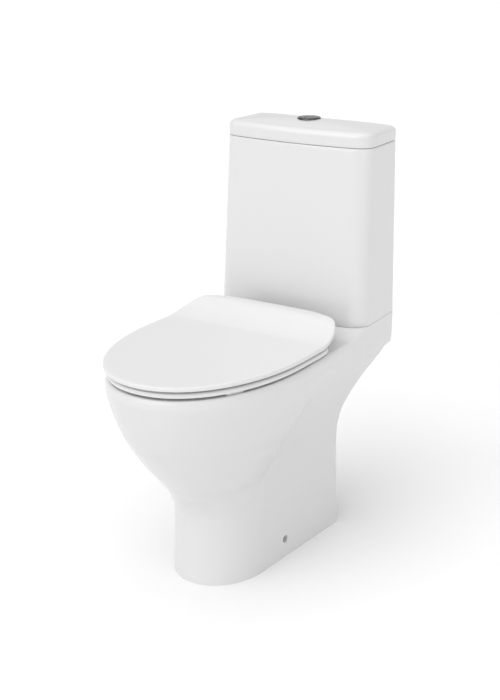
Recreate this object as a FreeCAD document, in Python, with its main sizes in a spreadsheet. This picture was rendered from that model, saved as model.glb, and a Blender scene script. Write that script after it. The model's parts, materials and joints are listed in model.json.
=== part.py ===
import FreeCAD, Part
import math
import os
import Sketcher

# Close coupled toilet. Origin on the floor under the middle of the overall box,
# +Z up, the bowl points to -Y, the wall is at +Y. Millimetres.

doc = FreeCAD.newDocument("CloseCoupledToilet")
V = FreeCAD.Vector

SIZES = {
    # overall levels
    "wall_y": 325.0, "deck_z": 431.0, "shelf_z": 444.5, "tank_top_z": 792.0,
    # cistern plan: half width at the wall, forward flare, front, bulge, corner
    "base_half": 164.6, "top_half": 157.1, "flare": 0.05,
    "base_front": 164.8, "top_front": 183.5, "base_bulge": 15.8, "top_bulge": 14.6,
    "base_corner": 40.8, "top_corner": 34.4, "back_corner": 6.0,
    "tank_wall": 9.0, "tank_floor": 14.0,
    # cistern lid
    "lid_gap": 0.4,
    # push buttons
    "button_y": 255.0, "flange_rad": 23.3, "sleeve_rad": 21.4,
    "sleeve_bore": 20.2, "button_rad": 19.8, "button_top": 833.9, "button_slot": 0.5,
    "push_rod_rad": 2.5, "push_x": 9.0,
    # flush valve
    "valve_y": 246.0, "valve_bore": 32.0, "seat_rad": 30.0, "tube_rad": 14.0,
    "cage_rad": 36.0, "cage_top": 700.0, "tube_top": 660.0,
    # filling valve
    "fill_x": -107.0, "fill_y": 262.0, "fill_thread": 10.4, "fill_top": 735.0,
    "float_out": 27.0, "float_low": 500.0, "fill_stem": 12.0,
    # close coupling bolts
    "coupling_x": 75.0, "coupling_y": 262.0, "coupling_rad": 4.0,
    # seat
    "seat_mid_y": -50.0, "lid_front": -325.0, "lid_half": 177.0, "lid_back": 128.0,
    "lid_edge_z": 450.0, "lid_top_z": 458.0, "lid_step": 24.0,
    "step_from": 22.0, "step_to": 104.0, "lid_plate": 5.0,
    "ring_z": 436.0, "ring_h": 11.0, "ring_half": 173.5, "ring_front": -319.5,
    "ring_back": 72.0, "hole_half": 107.0, "hole_front": -236.0, "hole_back": 34.0,
    # hinges
    "hinge_x": 77.5, "hinge_y": 108.0, "hinge_z": 462.0, "barrel_rad": 9.0,
    "pin_rad": 4.0, "sleeve_out": 7.0, "sleeve_in": 4.05, "seat_bolt_rad": 3.9,
    "rose_rad": 23.0, "rose_h": 5.0,
    # pan
    "pan_wall": 11.0, "deck_plate": 14.0, "outlet_rad": 51.0, "outlet_bore": 43.0,
    "outlet_z": 185.0, "outlet_end": 285.0, "trap_bore": 26.0, "trap_wall": 8.0,
    "fix_y": 22.0, "fix_z": 38.0, "fix_rad": 8.0,
}
# cutting blocks reach past the object by these; loose parts keep this much air
WIDE, DEEP, TALL, FREE = 300.0, 480.0, 520.0, 0.3
sheet = doc.addObject("Spreadsheet::Sheet", "Sizes")
for row, (alias, value) in enumerate(SIZES.items(), 1):
    sheet.set("A%d" % row, alias)
    sheet.set("B%d" % row, str(value))
    sheet.setAlias("B%d" % row, alias)
doc.recompute()
G = {alias: float(getattr(sheet, alias)) for alias in SIZES}
NODES = []


def ref(text):
    """The sheet expression for words such as "deck_z + 3"."""
    return " ".join("Sizes." + w if w in SIZES else w for w in str(text).split())


def val(text):
    """The number that such words come to; only + and - join them."""
    total, sign = 0.0, 1.0
    for word in str(text).split():
        if word in ("+", "-"):
            sign = 1.0 if word == "+" else -1.0
        else:
            total += sign * (G[word] if word in G else float(word))
    return total


def place(obj, x="0", y="0", z="0"):
    for axis, text in (("x", x), ("y", y), ("z", z)):
        obj.setExpression("Placement.Base." + axis, ref(str(text)))


def origin_plane(body, role):
    for item in body.Origin.OriginFeatures:
        if item.Role == role:
            return item
    raise RuntimeError("no origin plane " + role)


def profile(body, name, plane, points, lift=None):
    """A closed polygon sketch whose corners are bound to expressions."""
    sketch = body.newObject("Sketcher::SketchObject", name)
    sketch.AttachmentSupport = (origin_plane(body, plane), [""])
    sketch.MapMode = "FlatFace"
    if lift:
        sketch.setExpression("AttachmentOffset.Base.z", ref(lift))
    spots = [(val(a), val(b)) for a, b in points]
    count = len(spots)
    for i in range(count):
        a, b = spots[i], spots[(i + 1) % count]
        sketch.addGeometry(Part.LineSegment(V(a[0], a[1], 0), V(b[0], b[1], 0)), False)
    for i in range(count):
        sketch.addConstraint(Sketcher.Constraint("Coincident", i, 2, (i + 1) % count, 1))
    for i, (a, b) in enumerate(points):
        for kind, text in (("DistanceX", a), ("DistanceY", b)):
            n = sketch.addConstraint(Sketcher.Constraint(kind, i, 1, val(text)))
            if any(w in SIZES for w in str(text).split()):
                sketch.setExpression("Constraints[%d]" % n, ref(text))
    return sketch


def keep(obj):
    NODES.append(obj)
    return obj


def turned(name, points, x="0", y="0", z="0"):
    """A body turned about its own Z from a profile of (radius, height) corners."""
    body = doc.addObject("PartDesign::Body", name)
    body.Label = name
    sketch = profile(body, name + "_profile", "XZ_Plane", points)
    turn = body.newObject("PartDesign::Revolution", name + "_turn")
    turn.Profile = sketch
    turn.ReferenceAxis = (sketch, ["V_Axis"])
    turn.Angle = 360.0
    place(body, x, y, z)
    return keep(body)


def tube(name, inner, outer, low, high, x="0", y="0", z="0"):
    return turned(name, [(inner, low), (outer, low), (outer, high), (inner, high)], x, y, z)


def set_shape(name, shape):
    """A node whose free-form shape comes from the sheet's sizes."""
    obj = doc.addObject("Part::Feature", name)
    obj.Label = name
    obj.Shape = shape
    return keep(obj)


def box(x0, x1, y0, y1, z0, z1):
    return Part.makeBox(x1 - x0, y1 - y0, z1 - z0, V(x0, y0, z0))


def rod(radius, start, end):
    a, b = V(*start), V(*end)
    return Part.makeCylinder(radius, (b - a).Length, a, b - a)


def whole(shape):
    """The one solid of a boolean result."""
    solids = sorted(shape.Solids, key=lambda s: s.Volume)
    return solids[-1]


# ---------------------------------------------------------------- plan outlines

def closed_curve(points, z):
    curve = Part.BSplineCurve()
    curve.interpolate([V(x, y, z) for x, y in points], PeriodicFlag=True)
    return Part.Wire([curve.toShape()])


def oval_points(half, front, middle, back, sharp_front=2.1, sharp_back=2.3, count=36):
    """An egg outline: two half superellipses that meet at the widest line."""
    points = []
    for i in range(count):
        angle = 2 * math.pi * i / count
        c, s = math.cos(angle), math.sin(angle)
        power = 2.0 / (sharp_front if s < 0 else sharp_back)
        depth = middle - front if s < 0 else back - middle
        x = half * math.copysign(abs(c) ** power, c)
        y = middle + depth * math.copysign(abs(s) ** power, s)
        points.append((x, y))
    return points


def smooth_loft(sections):
    return Part.makeLoft([closed_curve(points, z) for z, points in sections], True, False)


def evenly(points, count):
    """The same run of points, respaced evenly along its length."""
    run = [0.0]
    for (x0, y0), (x1, y1) in zip(points, points[1:]):
        run.append(run[-1] + math.hypot(x1 - x0, y1 - y0))
    out, j = [], 0
    for i in range(count):
        goal = run[-1] * i / (count - 1.0)
        while j < len(run) - 2 and run[j + 1] < goal:
            j += 1
        share = (goal - run[j]) / (run[j + 1] - run[j])
        out.append(tuple(p + (q - p) * share for p, q in zip(points[j], points[j + 1])))
    return out


def clamped(count, degree=3):
    """Knots and their repeats for a smooth run of poles that starts and ends on a pole."""
    inner = count - degree - 1
    return [float(i) for i in range(inner + 2)], [degree + 1] + [1] * inner + [degree + 1]


def pole_face(poles):
    """One smooth face that follows a grid of poles."""
    along, repeats = clamped(len(poles))
    around, turns = clamped(len(poles[0]))
    surface = Part.BSplineSurface()
    surface.buildFromPolesMultsKnots(poles, repeats, turns, along, around, False, False, 3, 3)
    return surface.toShape()


def skin_face(rows, count=34):
    """One smooth face over outlines at rising or falling heights."""
    return pole_face([[V(x, y, z) for x, y in evenly(points, count)] for z, points in rows])


def level_edge(face, z):
    """The face's edge that lies all at one height."""
    for edge in face.Edges:
        if edge.BoundBox.ZMax - edge.BoundBox.ZMin < 1e-3 and abs(edge.BoundBox.Center.z - z) < 1e-2:
            return edge
    raise RuntimeError("no level edge")


def closed_up(faces):
    shell = Part.makeShell(faces)
    shell.sewShape()
    solid = Part.makeSolid(shell.Shells[0] if shell.Shells else shell)
    if solid.Volume < 0:
        solid.reverse()
    if not solid.isValid() or solid.Volume <= 0:
        raise RuntimeError("a skin did not close")
    return solid


def nose_solid(rows):
    """A solid from outlines that run round the front, each closed by a straight back."""
    side = skin_face(rows)
    levels = [level_edge(side, rows[i][0]) for i in (0, -1)]
    backs = []
    for i in (0, -1):
        z, points = rows[i]
        backs.append(Part.LineSegment(V(*points[0], z), V(*points[-1], z)).toShape())
    rising = [e for e in side.Edges if not any(e.isSame(level) for level in levels)]
    rear = Part.Face(Part.Wire(Part.__sortEdges__(rising + backs)))
    caps = [Part.Face(Part.Wire([level, back])) for level, back in zip(levels, backs)]
    return closed_up([side, rear] + caps)


def egg_solid(rows):
    """A solid from closed egg outlines that start and end at the back."""
    rows = [(z, both_sides(points)) for z, points in rows]
    side = skin_face(rows)
    caps = [Part.Face(Part.Wire([level_edge(side, rows[i][0])])) for i in (0, -1)]
    return closed_up([side] + caps)


def half_oval(half, front, middle, back, sharp_front=2.1, sharp_back=2.3, count=8, upto=None):
    """The right half of an egg outline, from its front to its back, or to depth upto."""
    last = math.pi / 2
    if upto is not None and upto < back:
        last = math.asin(((upto - middle) / (back - middle)) ** (sharp_back / 2.0))
    points = []
    for i in range(-count, count + 1):
        angle = math.pi / 2 * i / count if i < 0 else last * i / count
        c, s = math.cos(angle), math.sin(angle)
        power = 2.0 / (sharp_front if s < 0 else sharp_back)
        depth = middle - front if s < 0 else back - middle
        x = 0.0 if abs(c) < 1e-9 else half * abs(c) ** power
        points.append((x, middle + depth * math.copysign(abs(s) ** power, s)))
    return points


def both_sides(points):
    """A right half from front to back, made into one run from back right to back left."""
    return points[::-1] + [(-x, y) for x, y in points[1:]]


def tank_outline(half, front, bulge, corner, grow=0.0, back=None):
    """Cistern plan: flat back, flared sides, a bowed front, rounded corners."""
    back = G["wall_y"] if back is None else back
    half, front = half + grow, front - grow
    corner = max(corner + grow, 2.0)
    wing_y = front + bulge
    wing = half + G["flare"] * (G["wall_y"] - wing_y)
    bow = (wing ** 2 + bulge ** 2) / (2 * bulge)
    centre = V(0, front + bow, 0)
    along = V(half - wing, G["wall_y"] - wing_y, 0)
    along.normalize()
    side = V(wing, wing_y, 0)
    inward = V(-along.y, along.x, 0)
    # front corner: centre is `corner` inside the side line and inside the bow
    start = side + inward * corner
    rel = start - centre
    b = rel.dot(along)
    c = rel.dot(rel) - (bow - corner) ** 2
    step = -b - math.sqrt(b * b - c)
    if (start + along * step).y < wing_y:
        step = -b + math.sqrt(b * b - c)
    mid = start + along * step
    on_side = mid - inward * corner
    out = mid - centre
    out.normalize()
    on_front = centre + out * bow
    bend = mid + (on_side - mid + on_front - mid).normalize() * corner
    # back corner
    turn = G["back_corner"]
    reach = (back - turn - on_side.y) / along.y
    low = on_side + along * reach
    heel = low + inward * turn
    heel_back = V(heel.x, back, 0)
    heel_mid = heel + (low - heel + V(0, turn, 0)).normalize() * turn

    def mirror(p):
        return V(-p.x, p.y, 0)

    return [
        Part.LineSegment(on_side, low), Part.Arc(low, heel_mid, heel_back),
        Part.LineSegment(heel_back, mirror(heel_back)),
        Part.Arc(mirror(heel_back), mirror(heel_mid), mirror(low)),
        Part.LineSegment(mirror(low), mirror(on_side)),
        Part.Arc(mirror(on_side), mirror(bend), mirror(on_front)),
        Part.Arc(mirror(on_front), V(0, front, 0), on_front),
        Part.Arc(on_front, bend, on_side),
    ]


def at_height(edges, z):
    wire = Part.Wire([e.toShape() for e in edges])
    wire.translate(V(0, 0, z))
    return wire


def tank_plan(share, inset=0.0, back=None):
    """The cistern's plan at a share of its height, moved in by inset."""
    def mix(a, b):
        return G[a] + (G[b] - G[a]) * share
    return tank_outline(mix("base_half", "top_half"), mix("base_front", "top_front"),
                        mix("base_bulge", "top_bulge"), mix("base_corner", "top_corner"),
                        -inset, G["wall_y"] - inset if back is None else back)


def tank_share(z):
    return (z - G["shelf_z"]) / (G["tank_top_z"] - G["shelf_z"])


# ---------------------------------------------------------------- pan

# bowl skin: height, half width, front, widest line, back
BOWL = [
    (431.0, 169.0, -317.0, -50.0, 90.0), (429.0, 171.5, -320.0, -50.0, 90.0),
    (424.0, 174.0, -323.0, -50.0, 90.0), (415.0, 175.0, -323.5, -50.0, 90.0),
    (400.0, 174.0, -319.5, -50.0, 90.0), (380.0, 169.0, -315.0, -50.0, 88.0),
    (357.0, 161.0, -308.0, -50.0, 80.0), (337.0, 152.0, -301.5, -50.0, 78.0),
    (318.0, 144.0, -292.5, -50.0, 76.0), (300.0, 136.0, -281.5, -52.0, 70.0),
    (284.0, 127.8, -270.5, -55.0, 64.0), (266.0, 120.5, -256.5, -60.0, 48.0),
    (249.0, 113.0, -242.5, -65.0, 26.0), (231.0, 105.5, -225.5, -72.0, 2.0),
    (213.0, 98.5, -209.0, -80.0, -20.0), (197.0, 89.0, -194.5, -88.0, -30.0),
    (180.0, 82.0, -181.0, -92.0, -36.0), (165.0, 78.0, -169.0, -95.0, -40.0),
    (150.0, 73.0, -157.0, -98.0, -45.0),
]
# the rim band starts below its lower edge, which rises from the bowl's nose to the wall
BAND_FOOT, BAND_LOW_FRONT, BAND_RISE = 310.0, 362.0, (380.6 - 362.0) / 345.0
# the bowl's leaning back plane: depth at its foot, and depth gained per height
BOWL_BACK = (-60.0, 0.47)
# pedestal skin: height, front, half width where the nose ends, flare towards the wall
PLINTH = [
    (0.0, -164.0, 92.7, 0.06), (50.0, -162.5, 91.2, 0.06), (100.0, -161.5, 90.3, 0.06),
    (150.0, -160.5, 91.0, 0.06), (190.0, -160.0, 93.5, 0.06), (230.0, -158.0, 98.0, 0.055),
    (265.0, -150.0, 104.0, 0.05), (295.0, -142.0, 112.0, 0.045), (325.0, -134.0, 124.0, 0.04),
    (350.0, -128.0, 137.0, 0.035), (370.0, -122.0, 149.0, 0.024), (388.0, -118.0, 157.0, 0.005),
]
PLINTH_NOSE = -40.0
# bowl cavity: height, half width, front, widest line, back
CAVITY = [
    (440.0, 127.0, -268.0, -70.0, 75.0), (420.0, 128.0, -270.0, -70.0, 76.0),
    (405.0, 134.0, -278.0, -70.0, 82.0), (380.0, 131.0, -275.0, -70.0, 82.0),
    (340.0, 116.0, -250.0, -70.0, 78.0), (300.0, 94.0, -212.0, -66.0, 72.0),
    (265.0, 68.0, -160.0, -52.0, 66.0), (235.0, 47.0, -105.0, -32.0, 60.0),
    (212.0, 36.0, -72.0, -16.0, 50.0), (198.0, 26.0, -50.0, -8.0, 38.0),
]
# rear edge of the pedestal's sides: depth, height
REAR_EDGE = [
    (209.0, -5.0), (209.0, 60.0), (207.0, 120.0), (200.0, 180.0), (196.0, 225.0),
    (203.0, 262.0), (228.0, 292.0), (254.0, 322.0), (279.0, 349.0), (304.0, 373.0),
]


# the one ceramic piece, divided at planes into simpler nodes: name, depths, heights
SPLIT_Y, FOOT_Z, WELL_Z, BACK_Z = 95.0, 130.0, 312.0, 358.0
PAN_PIECES = [
    ("pan_foot", -400.0, 400.0, -1.0, FOOT_Z), ("pan_well", -400.0, SPLIT_Y, FOOT_Z, WELL_Z),
    ("pan_bowl", -400.0, SPLIT_Y, WELL_Z, 520.0), ("pan_back", SPLIT_Y, 400.0, FOOT_Z, BACK_Z),
    ("pan_shelf", SPLIT_Y, 400.0, BACK_Z, 520.0),
]


# ramp from the deck up to the shelf: height, how far ahead of the cistern, growth
SHELF_RAMP = [(400.0, 38.0, 0.0), (430.0, 35.0, 0.0), (433.0, 27.0, 0.0), (437.0, 16.0, 0.0),
              (441.0, 6.0, 0.0)]
RAMP_CORNER, SOFT_EDGE = 0.3, 1.2
# trapway's middle line: depth, height; the flush way runs level from under the cistern
TRAP_WAY = [(66.0, 238.0), (108.0, 276.0), (150.0, 262.0), (182.0, 205.0), (222.0, 185.0)]
FLUSH_WAY_Z, FLUSH_WAY_OUT, FLUSH_WAY_IN = 395.0, 32.0, 22.0
INLET_OUT, INLET_IN, INLET_SEAT = 54.0, 34.0, 44.0
FILL_HOLE, COUPLING_HOLE, HINGE_HOLE = 20.0, 6.0, 7.0


def plinth_half(front, half, flare, inset=0.0):
    """Right half of the pedestal's plan: a rounded nose, then a side that flares."""
    front, half = front + inset, half - inset
    nose = PLINTH_NOSE
    points = []
    for i in range(9):
        angle = math.pi / 2 * i / 8.0
        s, c = math.sin(angle), math.cos(angle)
        points.append((half * abs(s) ** (2 / 2.12), nose - (nose - front) * abs(c) ** (2 / 2.12)))
    points[0] = (0.0, front)
    return points + [(half + flare * (y - nose), y) for y in (40.0, 140.0, 240.0, 345.0)]


def plinth(inset=0.0, drop=0.0, top=500.0):
    return nose_solid([(z - (drop if z == 0.0 else 0.0),
                        both_sides(plinth_half(front, half, flare, inset)))
                       for z, front, half, flare in PLINTH if z <= top])


def band_half(half, front, inset=0.0):
    """Right half of the rim and shelf's plan: egg in front, a nearly straight side behind."""
    mid = G["seat_mid_y"]
    half, front = half - 1.2 - inset, front + 3.0 + inset
    points = []
    for i in range(9):
        angle = math.pi / 2 * i / 8.0
        s, c = math.sin(angle), math.cos(angle)
        points.append((half * abs(s) ** (2 / 2.1), mid - (mid - front) * abs(c) ** (2 / 2.1)))
    points[0] = (0.0, front)
    knee_y, end_y = 200.0, 345.0
    slack = max(0.0, (173.8 - inset - half)) * 0.35
    knee = G["base_half"] - 0.4 - inset + G["flare"] * (G["wall_y"] - knee_y) - slack
    for y in (30.0, 115.0):
        points.append((half + (knee - half) * (y - mid) / (knee_y - mid), y))
    return points + [(knee, knee_y), (knee - G["flare"] * 72, 272.0),
                     (knee - G["flare"] * (end_y - knee_y), end_y)]


def band(inset=0.0, low=0.0, high=500.0):
    return nose_solid([(z, both_sides(band_half(half, front, inset)))
                       for z, half, front in (row[:3] for row in BOWL)
                       if max(low, BAND_FOOT) <= z <= high])


def swept(points, radius, stations=12, ring=16):
    """A round pipe along a path that lies in the plane of symmetry."""
    path = Part.BSplineCurve()
    path.interpolate([V(*p) for p in points])
    first, last = path.FirstParameter, path.LastParameter
    reach = radius / (1 - (1 - math.cos(2 * math.pi / ring)) / 3)
    poles = []
    for i in range(stations + 1):
        at = first + (last - first) * i / stations
        ahead = path.tangent(at)[0]
        up = ahead.cross(V(1, 0, 0))
        poles.append([path.value(at) + V(1, 0, 0) * reach * math.cos(2 * math.pi * j / ring)
                      + up * reach * math.sin(2 * math.pi * j / ring) for j in range(ring + 1)])
    side = pole_face(poles)
    ends = [e for e in side.Edges if e.isClosed()]
    return closed_up([side] + [Part.Face(Part.Wire([e])) for e in ends])


def rear_cutter(shift=0.0):
    curve = Part.BSplineCurve()
    curve.interpolate([V(-320, y + shift, z) for y, z in REAR_EDGE])
    last = REAR_EDGE[-1]
    corners = [V(-320, last[0] + shift, last[1]), V(-320, 330, 400), V(-320, 460, 400),
               V(-320, 460, -5), V(-320, REAR_EDGE[0][0] + shift, -5)]
    edges = [curve.toShape()] + [Part.LineSegment(a, b).toShape()
                                 for a, b in zip(corners, corners[1:])]
    return Part.Face(Part.Wire(edges)).extrude(V(640, 0, 0))


def bowl_solid():
    """The bowl's skin, cut off behind by a leaning plane inside the pedestal."""
    rows = []
    low = BOWL[-1][0]
    for z, half, front, middle, back in BOWL:
        upto = BOWL_BACK[0] + (z - low) * BOWL_BACK[1]
        rows.append((z, both_sides(half_oval(half, front, middle, back, upto=upto))))
    return nose_solid(rows)


def build_pan():
    wall, deck = G["pan_wall"], G["deck_z"]
    behind = box(-WIDE, WIDE, G["wall_y"], DEEP, -20, TALL)
    # bowl, pedestal, rim band and the shelf that carries the cistern
    bowl = bowl_solid()
    foot = plinth().cut(rear_cutter()).cut(behind)
    level = BAND_LOW_FRONT + BAND_RISE * 20.0
    corners = [(-DEEP, level - DEEP * BAND_RISE), (DEEP, level + DEEP * BAND_RISE),
               (DEEP, 100.0), (-DEEP, 100.0)]
    under = Part.Face(Part.makePolygon([V(-WIDE, y, z) for y, z in corners + corners[:1]]))
    under = under.extrude(V(2 * WIDE, 0, 0))
    rim = band().cut(behind).cut(under)
    base_half, base_front = G["base_half"], G["base_front"]
    ramp = SHELF_RAMP + [(G["shelf_z"] - SOFT_EDGE, 1.0, 0.0), (G["shelf_z"], 0.0, -SOFT_EDGE)]
    steps = [at_height(tank_outline(base_half, base_front - ahead, G["base_bulge"],
                                    G["base_corner"] + ahead * RAMP_CORNER, grow), z)
             for z, ahead, grow in ramp]
    shelf = Part.makeLoft(steps, True, True)
    outer = bowl.fuse(foot).fuse(rim).fuse(shelf)
    # the hollow behind and under the bowl, open at the floor and at the back
    foot_in = plinth(wall, 10.0)
    rim_in = band(wall, 318.0, 420.0).common(
        box(-300, 300, 0, G["wall_y"] - wall, 330, deck - G["deck_plate"]))
    under_tank = box(-150, 150, 184, G["wall_y"] - wall, 380, 430)
    outer = outer.cut(foot_in).cut(rim_in).cut(under_tank)
    # shells of the bowl, trap and flush way
    basin = egg_solid([(z if z < 430 else 428.0, half_oval(h + wall, f - wall, m, b + wall))
                       for z, h, f, m, b in CAVITY]
                      + [(186.0, half_oval(22.0, -40.0, -8.0, 34.0))])
    outlet_z, inlet_y, way_z = G["outlet_z"], G["valve_y"], FLUSH_WAY_Z
    trap_path = [(0, y, z) for y, z in TRAP_WAY]
    trap_out = swept([(0, 20, 224)] + trap_path, G["trap_bore"] + G["trap_wall"])
    spigot = rod(G["outlet_rad"], (0, 205, outlet_z), (0, G["outlet_end"], outlet_z))
    drop_out = rod(INLET_OUT, (0, inlet_y, 368), (0, inlet_y, 436))
    way_out = rod(FLUSH_WAY_OUT, (0, 70, way_z), (0, inlet_y, way_z))
    for more in (basin, trap_out, spigot, drop_out, way_out):
        outer = outer.fuse(more)
    # what is cut away inside them
    cavity = egg_solid([(z, half_oval(h, f, m, b)) for z, h, f, m, b in CAVITY])
    trap_in = swept([(0, 0, 219)] + trap_path, G["trap_bore"])
    bore = rod(G["outlet_bore"], (0, 216, outlet_z), (0, G["outlet_end"] + 5, outlet_z))
    drop_in = rod(INLET_IN, (0, inlet_y, 380), (0, inlet_y, 460)).fuse(
        rod(INLET_SEAT, (0, inlet_y, 424), (0, inlet_y, 460)))
    way_in = rod(FLUSH_WAY_IN, (0, 40, way_z), (0, inlet_y, way_z))
    cuts = [cavity, trap_in, bore, drop_in, way_in,
            rod(FILL_HOLE, (G["fill_x"], G["fill_y"], 415), (G["fill_x"], G["fill_y"], 460)),
            rod(G["fix_rad"], (-140, G["fix_y"], G["fix_z"]), (-40, G["fix_y"], G["fix_z"])),
            rod(G["fix_rad"], (40, G["fix_y"], G["fix_z"]), (140, G["fix_y"], G["fix_z"]))]
    for side in (-1, 1):
        hinge_x, bolt_x = side * G["hinge_x"], side * G["coupling_x"]
        cuts.append(rod(HINGE_HOLE, (hinge_x, G["hinge_y"], 400), (hinge_x, G["hinge_y"], 450)))
        cuts.append(rod(COUPLING_HOLE, (bolt_x, G["coupling_y"], 415), (bolt_x, G["coupling_y"], 460)))
    for cut in cuts:
        outer = outer.cut(cut)
    return whole(outer)


# ---------------------------------------------------------------- cistern

def outline_sketch(body, name, edges, height):
    sketch = body.newObject("Sketcher::SketchObject", name)
    sketch.AttachmentSupport = (origin_plane(body, "XY_Plane"), [""])
    sketch.MapMode = "FlatFace"
    sketch.setExpression("AttachmentOffset.Base.z", ref(height))
    for edge in edges:
        sketch.addGeometry(edge, False)
    for i in range(len(edges)):
        sketch.addConstraint(Sketcher.Constraint("Block", i))
    return sketch


def lofted(body, kind, name, low, high):
    loft = body.newObject("PartDesign::" + kind, name)
    loft.Profile = low
    loft.Sections = [high]
    loft.Ruled = True
    return loft


def build_cistern():
    body = doc.addObject("PartDesign::Body", "cistern")
    body.Label = "cistern"
    low = outline_sketch(body, "tank_base_plan", tank_plan(0.0), "shelf_z")
    high = outline_sketch(body, "tank_top_plan", tank_plan(1.0), "tank_top_z")
    lofted(body, "AdditiveLoft", "tank_walls", low, high)
    wall = G["tank_wall"]
    floor_z = val("shelf_z + tank_floor")
    floor = outline_sketch(body, "tank_floor_plan", tank_plan(tank_share(floor_z), wall),
                           "shelf_z + tank_floor")
    mouth = outline_sketch(body, "tank_mouth_plan", tank_plan(1.0, wall), "tank_top_z")
    lofted(body, "SubtractiveLoft", "tank_inside", floor, mouth)
    doc.recompute()
    before = body.Shape.Volume
    holes = body.newObject("Sketcher::SketchObject", "tank_floor_holes")
    holes.AttachmentSupport = (origin_plane(body, "XY_Plane"), [""])
    holes.MapMode = "FlatFace"
    holes.setExpression("AttachmentOffset.Base.z", ref("shelf_z + tank_floor"))
    spots = [("0", "valve_y", "valve_bore"), ("fill_x", "fill_y", "fill_thread + 0.8"),
             ("coupling_x", "coupling_y", "coupling_rad + 1.5"),
             ("0 - coupling_x", "coupling_y", "coupling_rad + 1.5")]
    for i, (x, y, radius) in enumerate(spots):
        holes.addGeometry(Part.Circle(V(val(x), val(y), 0), V(0, 0, 1), val(radius)), False)
        for kind, text in (("DistanceX", x), ("DistanceY", y)):
            n = holes.addConstraint(Sketcher.Constraint(kind, i, 3, val(text)))
            holes.setExpression("Constraints[%d]" % n, ref(text))
        n = holes.addConstraint(Sketcher.Constraint("Radius", i, val(radius)))
        holes.setExpression("Constraints[%d]" % n, ref(radius))
    pocket = body.newObject("PartDesign::Pocket", "tank_floor_bores")
    pocket.Profile = holes
    pocket.setExpression("Length", ref("tank_floor + 4"))
    doc.recompute()
    if body.Shape.Volume > before - 1000:
        pocket.Reversed = True
        doc.recompute()
    return keep(body)


# lid skin: height above its lower edge, distance in from the side
LID_SKIN = [(0.0, 0.0), (18.0, 0.0), (23.0, 1.4), (26.6, 4.6), (29.2, 9.5), (31.4, 17.0),
            (33.8, 28.0), (36.2, 41.0), (38.0, 55.0)]
LID_INSIDE = [(-2.0, 8.0), (15.0, 8.0), (20.0, 12.0), (24.0, 20.0), (26.8, 32.0), (28.6, 45.0)]
# the lip that hangs into the cistern's mouth: distances in from the side, and its foot
LID_LIP, LID_LIP_DROP, LID_LIP_TOP = (11.5, 15.0), -8.0, 12.0


def build_cistern_lid():
    foot = G["tank_top_z"] + G["lid_gap"]
    skin = Part.makeLoft([at_height(tank_plan(1.0, d), foot + h) for h, d in LID_SKIN], True, False)
    inside = Part.makeLoft([at_height(tank_plan(1.0, d), foot + h) for h, d in LID_INSIDE], True, True)
    lip = [Part.makeLoft([at_height(tank_plan(1.0, d), foot + h)
                          for h in (LID_LIP_DROP, LID_LIP_TOP)], True, True) for d in LID_LIP]
    below = lip[0].common(box(-WIDE, WIDE, 0, DEEP, foot + LID_LIP_DROP - 1, foot + 1))
    lid = skin.cut(inside).fuse(lip[0].cut(lip[1]).common(skin.fuse(below)))
    hole = rod(G["sleeve_rad"] + FREE, (0, G["button_y"], foot), (0, G["button_y"], foot + 60))
    return whole(lid.cut(hole))


# ---------------------------------------------------------------- seat

def seat_points(half, front, back, inset=0.0):
    return oval_points(half - inset, front + inset, G["seat_mid_y"], back - inset, 2.1, 4.3, 48)


def seat_prism(half, front, back, inset, low, high):
    curve = closed_curve(seat_points(half, front, back, inset), low)
    return Part.Face(curve).extrude(V(0, 0, high - low))


def lid_rise(y):
    """How far the seat lid has stepped up at depth y."""
    share = min(max((y - G["step_from"]) / (G["step_to"] - G["step_from"]), 0.0), 1.0)
    return G["lid_step"] * share * share * (3 - 2 * share)


# the seat lid's rounded upper edge, and the width of the rim round its hollow underside
LID_ROUND, LID_RIM = 3.2, 9.0


def lid_slab(low, high, inset):
    """The space between two copies of the lid's side profile, across the whole width."""
    spots = [-340.0, -240.0, -140.0, -60.0, 0.0, 22.0, 36.0, 50.0, 63.0, 76.0, 90.0, 104.0,
             120.0, 140.0]
    def line(height):
        curve = Part.BSplineCurve()
        curve.interpolate([V(-200, y, height + lid_rise(y)) for y in spots])
        return curve.toShape()
    a, b = V(-200, spots[0], low), V(-200, spots[0], high)
    c, d = V(-200, spots[-1], low + G["lid_step"]), V(-200, spots[-1], high + G["lid_step"])
    wire = Part.Wire([line(high), Part.LineSegment(d, c).toShape(), line(low),
                      Part.LineSegment(a, b).toShape()])
    return Part.Face(wire).extrude(V(400, 0, 0)).common(
        seat_prism(G["lid_half"], G["lid_front"], G["lid_back"], inset, 420, 520))


def lug(side, x0, x1, radius, corners):
    """A hinge lug: a barrel about the hinge line on an arm of the given side profile."""
    hy, hz = G["hinge_y"], G["hinge_z"]
    barrel = rod(radius, (side * x0, hy, hz), (side * x1, hy, hz))
    wire = Part.makePolygon([V(side * x0, y, z) for y, z in corners + corners[:1]])
    return barrel.fuse(Part.Face(wire).extrude(V(side * (x1 - x0), 0, 0)))


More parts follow.
